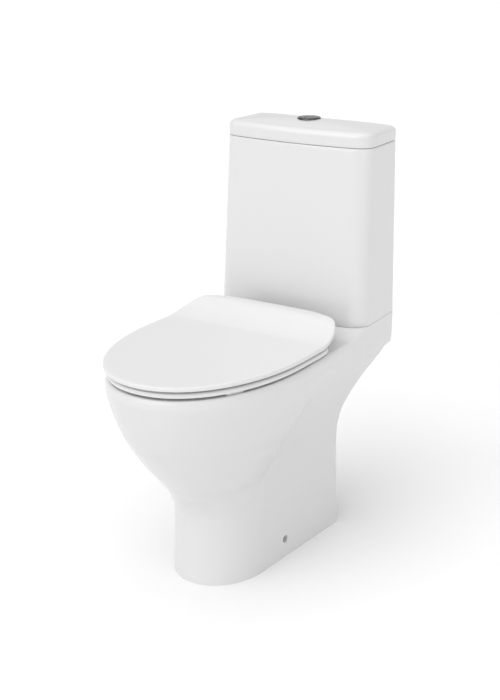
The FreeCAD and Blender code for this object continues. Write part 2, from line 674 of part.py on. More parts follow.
def build_seat_lid():
    low, high = G["lid_edge_z"], G["lid_top_z"]
    lid = lid_slab(low, high, 0.0)
    top_edges = [e for e in lid.Edges if e.BoundBox.XLength > 100 and e.BoundBox.ZMax > high + 1
                 and e.BoundBox.ZMin > high - 1]
    try:
        lid = lid.makeFillet(LID_ROUND, top_edges)
    except Part.OCCError:
        print("the seat lid keeps a sharp upper edge")
    recess = lid_slab(low - 1.0, high - G["lid_plate"], LID_RIM)
    lid = lid.cut(recess)
    hy = G["hinge_y"]
    under = low + G["lid_step"] + 3.5
    for side in (-1, 1):
        arm = [(hy - 9.4, G["hinge_z"]), (hy + 9.4, G["hinge_z"]), (hy + 9.4, under), (hy - 9.4, under)]
        lid = lid.fuse(lug(side, 93.0, 109.0, 9.5, arm))
    for side in (-1, 1):
        lid = lid.cut(rod(G["sleeve_out"], (side * 92, hy, G["hinge_z"]), (side * 110, hy, G["hinge_z"])))
    return whole(lid)


def build_seat_ring():
    low, high = G["ring_z"], G["ring_z"] + G["ring_h"]
    half, front, back = G["ring_half"], G["ring_front"], G["ring_back"]
    rows = [(low, 1.2), (low + 1.5, 0.2), (low + 4.5, 0.0), (low + 7.0, 1.0), (low + 9.4, 3.6),
            (low + 10.6, 8.0), (high, 16.0)]
    ring = smooth_loft([(z, seat_points(half, front, back, d)) for z, d in rows])
    inner = [(low - 1, 0.0), (low + 3.0, 0.0), (low + 6.5, -1.2), (low + 9.2, -5.0), (high + 0.5, -12.0)]
    hole = smooth_loft([(z, oval_points(G["hole_half"] - d, G["hole_front"] + d, G["seat_mid_y"] - 20,
                                        G["hole_back"] - d, 2.1, 2.4, 36)) for z, d in inner])
    ring = ring.cut(hole)
    arm = [(54, low + 3), (82, low + 3), (114, G["hinge_z"] - 7), (101, G["hinge_z"] + 7), (76, high - 0.5),
           (54, high - 0.5)]
    for side in (-1, 1):
        ring = ring.fuse(lug(side, 46.0, 62.0, 9.8, arm))
    for side in (-1, 1):
        ring = ring.cut(rod(G["sleeve_out"], (side * 45, G["hinge_y"], G["hinge_z"]),
                            (side * 63, G["hinge_y"], G["hinge_z"])))
    return whole(ring)


def pad_block(length, width, low, high, x, y, turn):
    """A rounded rubber pad, turned about +Z."""
    r = width / 2 - 0.01
    block = Part.makeBox(length - width, width, high - low, V(-(length - width) / 2, -width / 2, low))
    for end in (-1, 1):
        block = block.fuse(Part.makeCylinder(width / 2, high - low, V(end * (length - width) / 2, 0, low)))
    block = block.removeSplitter()
    block.rotate(V(0, 0, 0), V(0, 0, 1), turn)
    block.translate(V(x, y, 0))
    return block


# ---------------------------------------------------------------- small pieces

def button_half(side):
    """Half of the domed button disc, split along an S shaped slot."""
    r, top = G["button_rad"], G["button_top"]
    low = top - 10.0
    ball = 130.0
    disc = rod(r, (0, 0, low), (0, 0, top + 2)).common(
        Part.makeSphere(ball, V(0, 0, top - ball)))
    gap = G["button_slot"] / 2
    path = [(0.0 + 3.2 * math.sin(math.pi * y / r), y) for y in [r * k / 6.0 * 1.2 for k in range(-6, 7)]]
    curve = Part.BSplineCurve()
    curve.interpolate([V(x + side * gap, y, low - 1) for x, y in path])
    first, last = path[0], path[-1]
    far = side * 40
    corners = [V(last[0] + side * gap, last[1], low - 1), V(far, last[1], low - 1),
               V(far, first[1], low - 1), V(first[0] + side * gap, first[1], low - 1)]
    wire = Part.Wire([curve.toShape()] + [Part.LineSegment(a, b).toShape()
                                          for a, b in zip(corners, corners[1:])])
    piece = disc.common(Part.Face(wire).extrude(V(0, 0, 20)))
    piece = piece.fuse(rod(5.0, (side * G["push_x"], 0, low - 5), (side * G["push_x"], 0, low + 1)))
    piece.translate(V(0, G["button_y"], 0))
    return whole(piece)


def build_cage():
    low, top, r = 466.0, G["cage_top"], G["cage_rad"]
    cage = rod(r, (0, 0, low), (0, 0, 556)).cut(rod(r - 3, (0, 0, low - 1), (0, 0, 552)))
    for k in range(3):
        slot = box(-9, 9, -60, 60, low + 6, 544)
        slot.rotate(V(0, 0, 0), V(0, 0, 1), 60.0 * k + 30)
        cage = cage.cut(slot)
    tower = rod(21.0, (0, 0, 552), (0, 0, top))
    for k in range(2):
        slot = box(-7, 7, -30, 30, 580, top - 24)
        slot.rotate(V(0, 0, 0), V(0, 0, 1), 90.0 * k + 45)
        tower = tower.cut(slot)
    cage = cage.fuse(tower).cut(rod(18.0, (0, 0, 556), (0, 0, top - 4)))
    cage = cage.cut(rod(G["tube_rad"] + 1.2, (0, 0, 540), (0, 0, 600)))
    cage.translate(V(0, G["valve_y"], 0))
    return whole(cage)


def wing_nut(bore, hub, low, high, x, y):
    nut = rod(hub, (0, 0, low), (0, 0, high))
    wings = box(-hub - 9, hub + 9, -1.4, 1.4, low - 3, high - 2.5)
    nut = nut.fuse(wings).cut(rod(bore, (0, 0, low - 9), (0, 0, high + 9)))
    nut.translate(V(x, y, 0))
    return whole(nut)


def hex_bar(across, low, high):
    r = across / math.sqrt(3)
    points = [V(r * math.cos(math.pi / 3 * k), r * math.sin(math.pi / 3 * k), low) for k in range(7)]
    return Part.Face(Part.makePolygon(points)).extrude(V(0, 0, high - low))


def hinge_post(side):
    hy, hz, hx = G["hinge_y"], G["hinge_z"], G["hinge_x"]
    deck = G["deck_z"]
    rose = rod(G["rose_rad"], (0, 0, deck), (0, 0, deck + G["rose_h"]))
    rose = rose.makeFillet(1.5, [e for e in rose.Edges if abs(e.BoundBox.ZMin - deck - G["rose_h"]) < 0.1
                                 and e.BoundBox.XLength > 10])
    post = rose.fuse(rod(6.2, (0, 0, deck), (0, 0, hz)))
    post = post.fuse(rod(G["barrel_rad"], (-13.5, 0, hz), (13.5, 0, hz)))
    post = post.cut(rod(G["pin_rad"], (-20, 0, hz), (20, 0, hz)))
    post = post.cut(rod(G["seat_bolt_rad"], (0, 0, deck - 1), (0, 0, deck + 14)))
    post.translate(V(side * hx, hy, 0))
    return whole(post)


# ---------------------------------------------------------------- assembly

pan = build_pan()
for name, low_y, high_y, low_z, high_z in PAN_PIECES:
    piece = pan.common(box(-WIDE, WIDE, low_y, high_y, low_z, high_z))
    if name == "pan_back":
        # two cheeks and the trap; slivers where skins graze each other are left out
        large = sorted(piece.Solids, key=lambda solid: -solid.Volume)[:3]
        left, middle, right = sorted(large, key=lambda solid: solid.CenterOfMass.x)
        set_shape("pan_cheek_left", left)
        set_shape("pan_trap", middle)
        set_shape("pan_cheek_right", right)
    else:
        set_shape(name, whole(piece))
build_cistern()
set_shape("cistern_lid", build_cistern_lid())

turned("button_housing", [
    ("sleeve_bore", "button_top - 34"), ("sleeve_rad", "button_top - 34"),
    ("sleeve_rad", "button_top - 3.4"), ("flange_rad", "button_top - 3.4"),
    ("flange_rad", "button_top - 2.4"), ("flange_rad - 0.9", "button_top - 1.5"),
    ("sleeve_bore", "button_top - 1.5")], "0", "button_y", "0")
tube("housing_nut", "sleeve_rad + 0.02", "sleeve_rad + 4", "button_top - 21", "button_top - 13",
     "0", "button_y", "0")
for side, name in ((1, "button_full"), (-1, "button_half")):
    set_shape(name, button_half(side))
    turned("push_rod" + name[6:], [("0", "cage_top + 7"), ("push_rod_rad", "cage_top + 7"),
                                   ("push_rod_rad", "button_top - 15"), ("0", "button_top - 15")],
           "push_x" if side > 0 else "0 - push_x", "button_y", "0")

turned("valve_base", [
    (25.0, 426.0), (31.0, 426.0), (31.0, 461.5), (42.0, 461.5), (42.0, 464.5), (36.0, 466.0),
    (25.0, 466.0)], "0", "valve_y", "0")
tube("valve_washer", 31.3, 42.0, 458.5, 461.5, "0", "valve_y", "0")
tube("valve_backnut", 31.05, 35.8, 434.0, 444.5, "0", "valve_y", "0")
turned("coupling_gasket", [(36.0, 424.0), (43.8, 424.0), (43.8, 444.5), (38.0, 444.5),
                           (36.0, 440.0)], "0", "valve_y", "0")
set_shape("valve_cage", build_cage())
tube("overflow_tube", "tube_rad - 1.8", "tube_rad", 467.0, "tube_top", "0", "valve_y", "0")
turned("valve_seal", [("tube_rad", 466.4), ("seat_rad", 466.4), ("seat_rad", 469.0),
                      ("tube_rad + 3", 472.0), ("tube_rad", 476.0)], "0", "valve_y", "0")

turned("fill_valve", [
    (6.0, 396.0), ("fill_thread", 396.0), ("fill_thread", 430.0), (9.8, 430.0), (9.8, 433.0),
    ("fill_thread", 433.0), ("fill_thread", 461.5), (18.0, 461.5), (18.0, 466.0),
    ("fill_stem", 466.0), ("fill_stem", 486.0), (15.0, 488.0), (15.0, 495.0), ("fill_stem", 497.0),
    ("fill_stem", "fill_top"), (20.0, "fill_top"), (20.0, "fill_top + 14"),
    (13.0, "fill_top + 22"), (6.0, "fill_top + 22")], "fill_x", "fill_y", "0")
tube("fill_washer", "fill_thread + 0.1", 18.0, 458.5, 461.5, "fill_x", "fill_y", "0")
nut = hex_bar(30.0, 435.5, 444.5).cut(rod(G["fill_thread"] + 0.05, (0, 0, 430), (0, 0, 450)))
nut.translate(V(G["fill_x"], G["fill_y"], 0))
set_shape("fill_backnut", nut)
turned("float_cup", [
    ("fill_stem + 0.7", "float_low"), ("float_out - 2", "float_low"), ("float_out", "float_low + 3"),
    ("float_out", "float_low + 66"), ("float_out - 3", "float_low + 70"),
    ("fill_stem + 0.7", "float_low + 70")], "fill_x", "fill_y", "0")

for side, tag in ((-1, "left"), (1, "right")):
    x = "coupling_x" if side > 0 else "0 - coupling_x"
    bolt = hex_bar(13.0, 461.5, 467.0).fuse(rod(G["coupling_rad"], (0, 0, 396), (0, 0, 462)))
    bolt.translate(V(val(x), G["coupling_y"], 0))
    set_shape("coupling_bolt_" + tag, whole(bolt))
    tube("coupling_rubber_" + tag, "coupling_rad + 0.1", 12.0, 458.5, 461.5, x, "coupling_y", "0")
    tube("coupling_washer_" + tag, "coupling_rad + 0.3", 11.5, 428.4, 430.0, x, "coupling_y", "0")
    set_shape("coupling_nut_" + tag, wing_nut(G["coupling_rad"] + 0.02, 7.5, 419.0, 428.4,
                                              val(x), G["coupling_y"]))

set_shape("seat_lid", build_seat_lid())
set_shape("seat_ring", build_seat_ring())
for side, tag in ((-1, "left"), (1, "right")):
    hx = "hinge_x" if side > 0 else "0 - hinge_x"
    turn = 65.0 if side > 0 else 115.0
    gap = 0.4
    set_shape("lid_buffer_" + tag, pad_block(14.0, 9.0, G["ring_z"] + G["ring_h"] + gap,
                                             G["lid_top_z"] - G["lid_plate"], side * 127, -212, turn))
    for spot, bx, by, bt in (("front", 130.0, -212.0, turn), ("back", 150.0, 22.0, 90.0)):
        set_shape("ring_buffer_%s_%s" % (spot, tag),
                  pad_block(36.0, 9.0, G["deck_z"] + gap, G["ring_z"], side * bx, by, bt))
    set_shape("hinge_post_" + tag, hinge_post(side))
    hy, hz = G["hinge_y"], G["hinge_z"]
    set_shape("hinge_pin_" + tag, rod(G["pin_rad"], (side * 46, hy, hz), (side * 109, hy, hz)))
    for part, x0, x1 in (("ring", 46.0, 62.0), ("lid", 93.0, 109.0)):
        sleeve = rod(G["sleeve_out"], (side * x0, hy, hz), (side * x1, hy, hz)).cut(
            rod(G["sleeve_in"], (side * (x0 - 1), hy, hz), (side * (x1 + 1), hy, hz)))
        set_shape("%s_damper_%s" % (part, tag), sleeve)
    turned("seat_bolt_" + tag, [(0, 378.0), ("seat_bolt_rad", 378.0),
                                ("seat_bolt_rad", "deck_z + 13"), (0, "deck_z + 13")], hx, "hinge_y", "0")
    turned("seat_bush_" + tag, [
        ("seat_bolt_rad + 0.05", 404.0), (9.0, 404.0), (13.0, 408.0), (13.0, 415.0),
        (6.8, 415.0), (6.8, 423.0), ("seat_bolt_rad + 0.05", 423.0)], hx, "hinge_y", "0")
    set_shape("seat_nut_" + tag, wing_nut(G["seat_bolt_rad"] + 0.02, 9.0, 392.0, 404.0,
                                          side * G["hinge_x"], G["hinge_y"]))

doc.recompute()
for obj in doc.Objects:
    if "Invalid" in obj.State or "Error" in obj.State:
        raise RuntimeError("%s did not compute: %s" % (obj.Name, obj.State))
os.makedirs("parts", exist_ok=True)
for old in os.listdir("parts"):
    os.remove(os.path.join("parts", old))
for obj in NODES:
    if obj.Shape.isNull() or not obj.Shape.isValid() or len(obj.Shape.Solids) != 1:
        raise RuntimeError("%s is not one valid solid" % obj.Label)
    obj.Shape.exportStep("parts/%s.step" % obj.Label)
print(len(NODES), "nodes written")
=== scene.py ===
import json
import math

import bmesh
import bpy
import numpy as np
from mathutils import Matrix, Vector


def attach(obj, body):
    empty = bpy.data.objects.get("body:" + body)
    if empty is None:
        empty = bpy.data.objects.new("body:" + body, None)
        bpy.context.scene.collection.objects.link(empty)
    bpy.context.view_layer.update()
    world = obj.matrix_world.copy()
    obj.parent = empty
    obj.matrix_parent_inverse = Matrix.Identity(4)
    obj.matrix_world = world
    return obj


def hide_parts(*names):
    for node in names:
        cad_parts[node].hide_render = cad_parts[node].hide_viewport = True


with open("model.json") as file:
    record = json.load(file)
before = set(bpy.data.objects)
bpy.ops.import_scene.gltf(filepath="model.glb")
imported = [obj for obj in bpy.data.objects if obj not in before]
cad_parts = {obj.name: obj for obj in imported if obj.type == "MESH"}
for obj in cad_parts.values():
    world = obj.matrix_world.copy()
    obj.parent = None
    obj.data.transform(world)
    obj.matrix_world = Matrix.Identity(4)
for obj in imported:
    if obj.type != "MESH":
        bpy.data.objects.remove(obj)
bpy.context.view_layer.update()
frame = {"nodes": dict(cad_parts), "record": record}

# Sizes are in millimetres in the row frame; meshes are written in metres.
WALL_Y, WALL = 325.0, 11.0
DECK_Z, DECK_PLATE, SHELF_Z, TANK_TOP = 431.0, 14.0, 444.5, 792.0
SIDE_TOP, SHELF_ARRIS = 415.0, 1.3
VALVE_Y, OUTLET_Z, OUTLET_END = 246.0, 185.0, 285.0
FIX_AT, FIX_RADIUS = (0.094, 0.022, 0.038), 0.008  # fixing hole, in metres
SEAT_MID, HINGE_Y, HINGE_Z = -50.0, 108.0, 462.0
BUTTON_Y, BUTTON_TOP = 255.0, 834.0

# cistern plan, at its base and at its top
TANK_HALF, TANK_FRONT = (164.6, 157.1), (164.8, 183.5)
TANK_BULGE, TANK_CORNER = (15.8, 14.6), (40.8, 34.4)
FLARE, BACK_CORNER, TANK_WALL = 0.05, 6.0, 9.0

# bowl: height, half width, front, widest line, back
BOWL = np.array([
    (60, 34, -70, -50, -30), (100, 48, -106, -80, -40), (125, 60, -132, -92, -44),
    (150, 70, -154, -97, -45), (165, 78, -169, -95, -40), (180, 82, -181, -92, -36),
    (197, 89, -194.5, -88, -30), (213, 98.5, -209, -80, -20), (231, 105.5, -225.5, -72, 2),
    (249, 113, -242.5, -65, 26), (266, 120.5, -256.5, -60, 48), (284, 127.8, -270.5, -55, 64),
    (300, 136, -281.5, -52, 70), (318, 144, -292.5, -50, 76), (337, 152, -301.5, -50, 78),
    (357, 161, -308, -50, 80), (380, 169, -315, -50, 88), (400, 174, -319.5, -50, 90),
    (415, 175, -323.5, -50, 90), (440, 175, -323.5, -50, 90)], float)
# pedestal: height, front, half width at the end of its nose, flare towards the wall
PLINTH = np.array([
    (-40, -165, 93.8, .06), (0, -164, 92.7, .06), (50, -162.5, 91.2, .06), (100, -161.5, 90.3, .06),
    (150, -160.5, 91, .06), (190, -160, 93.5, .06), (230, -158, 98, .055), (265, -150, 104, .05),
    (295, -142, 112, .045), (325, -134, 124, .04), (350, -128, 137, .035), (370, -122, 149, .024),
    (388, -118, 157, .005)], float)
PLINTH_NOSE, PLINTH_POWER = -40.0, 2.12
# inside of the bowl: height, half width, front, widest line, back
CAVITY = np.array([
    (198, 26, -50, -8, 38), (212, 36, -72, -16, 50), (235, 47, -105, -32, 60),
    (265, 68, -160, -52, 66), (300, 94, -212, -66, 72), (340, 116, -250, -70, 78),
    (380, 131, -275, -70, 82), (405, 134, -278, -70, 82), (420, 128, -270, -70, 76),
    (440, 127, -268, -70, 75)], float)
# rear edge of the pedestal's sides: height, depth
REAR_EDGE = np.array([
    (-5, 209), (60, 209), (120, 207), (180, 200), (225, 196), (262, 203), (292, 228),
    (322, 254), (349, 279), (373, 304), (400, 333)], float)


# ------------------------------------------------------------ mesh helpers

class Skin:
    """Collects grids of points, given in millimetres, into one mesh."""

    def __init__(self):
        self.points, self.faces, self.count = [], [], 0

    def grid(self, rows, wrap=False):
        rows = np.asarray(rows, float)
        r, c = rows.shape[:2]
        index = np.arange(r * c).reshape(r, c) + self.count
        right = np.roll(index, -1, axis=1) if wrap else index[:, 1:]
        left = index if wrap else index[:, :-1]
        quads = np.stack([left[:-1], right[:-1], right[1:], left[1:]], axis=-1).reshape(-1, 4)
        self.points.append(rows.reshape(-1, 3))
        self.faces.append(quads)
        self.count += r * c
        return self

    def ring(self, rows):
        """A grid whose right half is given, from front to back, closed round the left side."""
        return self.grid(np.concatenate([mirror(rows)[:, :-1], rows[:, :-1]], axis=1), wrap=True)

    def arch(self, rows):
        """A grid whose right half is given from the front, left open behind."""
        return self.grid(np.concatenate([mirror(rows)[:, :-1], rows], axis=1))

    def build(self, name, sharp=38.0):
        mesh = bpy.data.meshes.new(name)
        points = np.concatenate(self.points) / 1000.0
        faces = np.concatenate(self.faces)
        mesh.from_pydata(points.tolist(), [], faces.tolist())
        bm = bmesh.new()
        bm.from_mesh(mesh)
        bmesh.ops.remove_doubles(bm, verts=bm.verts, dist=2e-6)
        bmesh.ops.dissolve_degenerate(bm, edges=bm.edges, dist=1e-6)
        bmesh.ops.recalc_face_normals(bm, faces=bm.faces)
        bm.to_mesh(mesh)
        bm.free()
        mesh.shade_smooth()
        mesh.set_sharp_from_angle(angle=math.radians(sharp))
        obj = bpy.data.objects.new(name, mesh)
        bpy.context.scene.collection.objects.link(obj)
        return obj


def mirror(rows):
    return rows[:, ::-1] * np.array([-1.0, 1.0, 1.0])


def smooth(t):
    t = np.clip(t, 0.0, 1.0)
    return t * t * (3 - 2 * t)


def softened(table, z, width=16.0):
    """Columns of a table at heights z, with its corners rounded over a few millimetres."""
    z = np.asarray(z, float)
    steps = np.linspace(-1, 1, 13)
    weights = (1 - steps ** 2) ** 2
    weights /= weights.sum()
    out = []
    for k in range(1, table.shape[1]):
        out.append(sum(w * np.interp(z + s * width, table[:, 0], table[:, k])
                       for s, w in zip(steps, weights)))
    return out


def egg(x, y, half, front, middle, back, sharp_front=2.1, sharp_back=2.3):
    """Signed distance, nearly, from an egg outline."""
    d = y - middle
    depth = np.where(d < 0, middle - front, back - middle)
    power = np.where(d < 0, sharp_front, sharp_back)
    reach = (np.abs(x) / half) ** power + (np.abs(d) / depth) ** power
    return np.hypot(x, d) * (1 - np.maximum(reach, 1e-9) ** (-1 / power))


def soft_min(a, b, k):
    h = np.maximum(k - np.abs(a - b), 0) / k
    return np.minimum(a, b) - h * h * k / 4


def soft_max(a, b, k):
    return -soft_min(-a, -b, k)


def outline_hits(field, angle, centre_y, reach=430.0, step=2.0):
    """Outermost crossing of a field along rays from (0, centre_y); returns x and y."""
    c, s = np.cos(angle), np.sin(angle)
    r = np.full(angle.shape, reach)
    found = np.zeros(angle.shape, bool)
    while not found.all() and r.max() > step:
        inside = field(r * c, centre_y + r * s) < 0
        found |= inside
        r = np.where(found, r, r - step)
    low, high = r.copy(), r + step
    for _ in range(22):
        mid = (low + high) / 2
        inside = field(mid * c, centre_y + mid * s) < 0
        low, high = np.where(inside, mid, low), np.where(inside, high, mid)
    return low * c, centre_y + low * s


def lathe(skin, points, centre, turns=40):
    """A turned shape about +Z: points are radius and height."""
    a = np.linspace(0, 2 * math.pi, turns, endpoint=False)
    rows = [np.stack([centre[0] + r * np.cos(a), centre[1] + r * np.sin(a), np.full(turns, z)], -1)
            for r, z in points]
    skin.grid(rows, wrap=True)


def pipe(skin, path, radii, turns=28):
    """A round tube along a path in the plane of symmetry."""
    path = np.asarray(path, float)
    ahead = np.gradient(path, axis=0)
    ahead /= np.linalg.norm(ahead, axis=1)[:, None]
    a = np.linspace(0, 2 * math.pi, turns, endpoint=False)
    rows = []
    for p, t, r in zip(path, ahead, radii):
        side, up = np.array([1.0, 0, 0]), np.cross(t, [1.0, 0, 0])
        rows.append(p + r * (np.outer(np.cos(a), side) + np.outer(np.sin(a), up)))
    skin.grid(rows, wrap=True)


def spline(points, count):
    """A smooth path through a few points."""
    p = np.asarray(points, float)
    p = np.vstack([2 * p[0] - p[1], p, 2 * p[-1] - p[-2]])
    out = []
    for u in np.linspace(0, len(points) - 1, count):
        i = min(int(u), len(points) - 2)
        t = u - i
        a, b, c, d = p[i:i + 4]
        out.append(0.5 * (2 * b + (c - a) * t + (2 * a - 5 * b + 4 * c - d) * t ** 2
                          + (3 * b - a - 3 * c + d) * t ** 3))
    return np.array(out)


# ------------------------------------------------------------ cistern plan

def mix(ends, share):
    return ends[0] + (ends[1] - ends[0]) * share


def tank_half(share, inset=0.0, back=WALL_Y):
    """Right half of the cistern's plan, from the middle of its front to the middle of its back."""
    half = mix(TANK_HALF, share) - inset
    front = mix(TANK_FRONT, share) + inset
    bulge = mix(TANK_BULGE, share)
    corner = max(mix(TANK_CORNER, share) - inset, 2.0)
    wing_y = front + bulge
    wing = half + FLARE * (WALL_Y - wing_y)
    bow = (wing ** 2 + bulge ** 2) / (2 * bulge)
    centre = np.array([0.0, front + bow])
    along = np.array([half - wing, WALL_Y - wing_y])
    along /= np.linalg.norm(along)
    side = np.array([wing, wing_y])
    inward = np.array([-along[1], along[0]])
    start = side + inward * corner
    rel = start - centre
    b, c = rel @ along, rel @ rel - (bow - corner) ** 2
    step = -b - math.sqrt(b * b - c)
    if (start + along * step)[1] < wing_y:
        step = -b + math.sqrt(b * b - c)
    mid = start + along * step
    on_side = mid - inward * corner
    out = (mid - centre) / np.linalg.norm(mid - centre)
    on_front = centre + out * bow
    low = on_side + along * ((back - BACK_CORNER - on_side[1]) / along[1])
    heel = low + inward * BACK_CORNER

    def arc(mid_point, first, last, count):
        a0, a1 = (math.atan2(*(p - mid_point)[::-1]) for p in (first, last))
        if a1 < a0 - math.pi:
            a1 += 2 * math.pi
        r = np.linalg.norm(first - mid_point)
        return [mid_point + r * np.array([math.cos(a), math.sin(a)])
                for a in np.linspace(a0, a1, count)]

    heel_back = np.array([heel[0], back])
    points = arc(centre, np.array([0.0, front]), on_front, 22)[:-1]
    points += arc(mid, on_front, on_side, 16)[:-1]
    points += [on_side + (low - on_side) * t for t in np.linspace(0, 1, 8)][:-1]
    points += arc(heel, low, heel_back, 6)[:-1]
    points += [heel_back + (np.array([0.0, back]) - heel_back) * t for t in np.linspace(0, 1, 9)]
    points = np.array(points)
    points[0, 0] = points[-1, 0] = 0.0
    return points


def level(points, z):
    """Plan points lifted to a height, or each to its own."""
    return np.column_stack([points, np.full(len(points), z) if np.isscalar(z) else z])


def plan_distance(x, y, half_outline):
    """Distance from a closed, mirrored outline; negative inside."""
    ring = np.vstack([half_outline[::-1] * [-1, 1], half_outline[1:]])
    a, b = ring[:-1], ring[1:]
    ab = b - a
    flat = np.column_stack([np.ravel(x), np.ravel(y)])
    best = np.full(len(flat), 1e9)
    cross = np.zeros(len(flat), int)
    for p, d in zip(a, ab):
        rel = flat - p
        t = np.clip((rel @ d) / max(d @ d, 1e-9), 0, 1)
        best = np.minimum(best, np.linalg.norm(rel - t[:, None] * d, axis=1))
        q = p + d
        hit = (p[1] > flat[:, 1]) != (q[1] > flat[:, 1])
        if hit.any() and abs(d[1]) > 1e-12:
            at = p[0] + (flat[:, 1] - p[1]) / d[1] * d[0]
            cross += (hit & (flat[:, 0] < at)).astype(int)
    return np.where(cross % 2 == 1, -best, best).reshape(np.shape(x))


# ------------------------------------------------------------ pan

CENTRE_Y = 20.0
RAMP_REACH, RAMP_POWER = 50.0, 1.9
BAND_LOW_FRONT, BAND_LOW_WALL, KNEE_Y = 362.0, 380.6, 200.0
MOUTH_ROUND, WELL_FOOT, SHELL_FOOT = 4.0, 199.0, 200.0
SIDE_COLS, BACK_COLS, LOW_ROWS = 220, 30, 130

# directions of the columns of the pan's right half, seen from above: its side, then its back
CORNER_TURN = math.atan2(309.0 - CENTRE_Y, 157.0)
SIDE_SHARE = np.linspace(0, 1, SIDE_COLS)
TURN = np.concatenate([-math.pi / 2 + SIDE_SHARE * (CORNER_TURN + math.pi / 2),
                       np.linspace(CORNER_TURN, math.pi / 2, BACK_COLS + 1)[1:]])
OUTWARD = np.stack([np.cos(TURN), np.sin(TURN)], -1)


def lower_field(z, level_at=0.0):
    """Bowl and pedestal together at heights z."""
    half, front, middle, back = softened(BOWL, np.maximum(z, 62.0))
    nose_front, nose_half, flare = softened(PLINTH, z)
    rim = band_field(z)
    # the bowl meets the pedestal in a crease above and in a wide hollow below
    k = 3.0 + 15.0 * smooth((235.0 - z) / 70.0)

    def field(x, y):
        bowl = egg(x, y, half, front, middle, back)
        d = y - PLINTH_NOSE
        reach = (np.abs(x) / nose_half) ** PLINTH_POWER
        reach = reach + (np.abs(d) / (PLINTH_NOSE - nose_front)) ** PLINTH_POWER
        nose = np.hypot(x, d) * (1 - np.maximum(reach, 1e-9) ** (-1 / PLINTH_POWER))
        plinth = np.where(d < 0, nose, np.abs(x) - nose_half - flare * d)
        # the front of the band runs down into the bowl without a step
        drop = np.maximum(band_edge(y) - z, 0.0)
        eave = rim(x, y) + 0.25 * drop + 1.6 * np.maximum(y - 1.0, 0.0)
        upper = soft_min(bowl, eave, 0.01 + 6.0 * smooth((y + 45.0) / 30.0))
        return soft_min(upper, plinth, k) - level_at
    return field, nose_half, flare


def band_field(z):
    """Rim and shelf at heights z, squared off at the wall."""
    half, front, _middle, _back = softened(BOWL, np.minimum(z, SIDE_TOP))
    knee = TANK_HALF[0] + FLARE * (WALL_Y - KNEE_Y) - np.maximum(0.0, 173.8 - half) * 0.35

    def field(x, y):
        nose = egg(x, y, half, front, SEAT_MID, 90.0)
        ahead = half + (knee - half) * (y - SEAT_MID) / (KNEE_Y - SEAT_MID)
        wide = np.where(y < KNEE_Y, ahead, knee - FLARE * (y - KNEE_Y))
        side = np.where(y < SEAT_MID, nose, np.abs(x) - wide)
        return soft_max(side, y - WALL_Y, 6.0)
    return field


def band_edge(y):
    """Height of the band's lower edge."""
    return BAND_LOW_FRONT + (y + 20.0) * (BAND_LOW_WALL - BAND_LOW_FRONT) / (WALL_Y + 20.0)


def deck_height(x, y):
    """The deck is flat, then ramps up to the shelf under the cistern."""
    ahead = plan_distance(x, y, tank_half(0.0))
    rise = np.clip(1 - ahead / RAMP_REACH, 0, 1) ** RAMP_POWER
    return DECK_Z + (SHELF_Z - DECK_Z) * np.where(ahead <= 0, 1.0, rise)


def cavity_outline(z, grow, angle, centre_y, width=16.0):
    """Outline of the bowl's inside at one height, grown by a distance."""
    half, front, middle, back = softened(CAVITY, np.array(z), width)

    def field(x, y):
        return egg(x, y, half + grow, front - grow, middle, back + grow)
    return outline_hits(field, angle, centre_y)


def flat_row(x, y, z):
    return np.column_stack([x, y, np.full(len(x), z)])


def pedestal_rows(edge_z, level_at):
    """The bowl and pedestal, from the floor to the band's lower edge."""
    t = np.linspace(0, 1, LOW_ROWS)[:, None]
    z = t * edge_z[None, :SIDE_COLS]
    rear = sum(np.interp(z + o, REAR_EDGE[:, 0], REAR_EDGE[:, 1]) for o in (-12, -6, 0, 6, 12)) / 5
    field, nose_half, flare = lower_field(z, level_at)
    end = np.arctan2(rear - CENTRE_Y, nose_half + flare * (rear - PLINTH_NOSE) + level_at)
    end = end + (CORNER_TURN - end[-1:]) * smooth((t - 0.94) / 0.06)
    angle = -math.pi / 2 + SIDE_SHARE[None, :] * (end + math.pi / 2)
    x, y = outline_hits(field, angle, CENTRE_Y)
    x[:, 0] = 0.0
    return np.stack([x, y, z], -1)


def band_rows(edge_y, edge_z):
    """The side of the rim and shelf, from its lower edge over its rounded upper edge."""
    rows = []
    low_outline = lower_field(edge_z)[0]
    overhang = np.clip(low_outline(*outline_hits(band_field(edge_z), TURN, CENTRE_Y)), 0.0, 6.0)
    bevel = overhang / 6.0 * 1.2
    for a in (0.0, 0.3, 0.65, 1.0):
        angle = a * math.pi / 2
        z = edge_z + bevel * (1 - math.cos(angle))
        x, y = outline_hits(band_field(z), TURN, CENTRE_Y)
        pull = (bevel * (1 - math.sin(angle)))[:, None]
        rows.append(np.column_stack([np.column_stack([x, y]) - OUTWARD * pull, z]))
    start = edge_z + bevel
    top_of_side = SIDE_TOP + (SHELF_Z - SHELF_ARRIS - SIDE_TOP) * smooth((edge_y - 100.0) / 95.0)
    for a in np.linspace(0, 1, 26)[1:]:
        z = start + (top_of_side - start) * a
        x, y = outline_hits(band_field(z), TURN, CENTRE_Y)
        rows.append(np.column_stack([x, y, z]))
    # rounded edge: it shrinks to a fine arris beside the cistern
    side = rows[-1]
    inset = 7.0 + (1.2 - 7.0) * smooth((side[:, 1] - 120.0) / 85.0)
    roof = deck_height(side[:, 0] - OUTWARD[:, 0] * inset, side[:, 1] - OUTWARD[:, 1] * inset)
    for a in (0.12, 0.25, 0.4, 0.55, 0.7, 0.85, 1.0):
        angle = a * math.pi / 2
        xy = side[:, :2] - OUTWARD * (inset * (1 - math.cos(angle)))[:, None]
        rows.append(np.column_stack([xy, side[:, 2] + (roof - side[:, 2]) * math.sin(angle)]))
    return rows


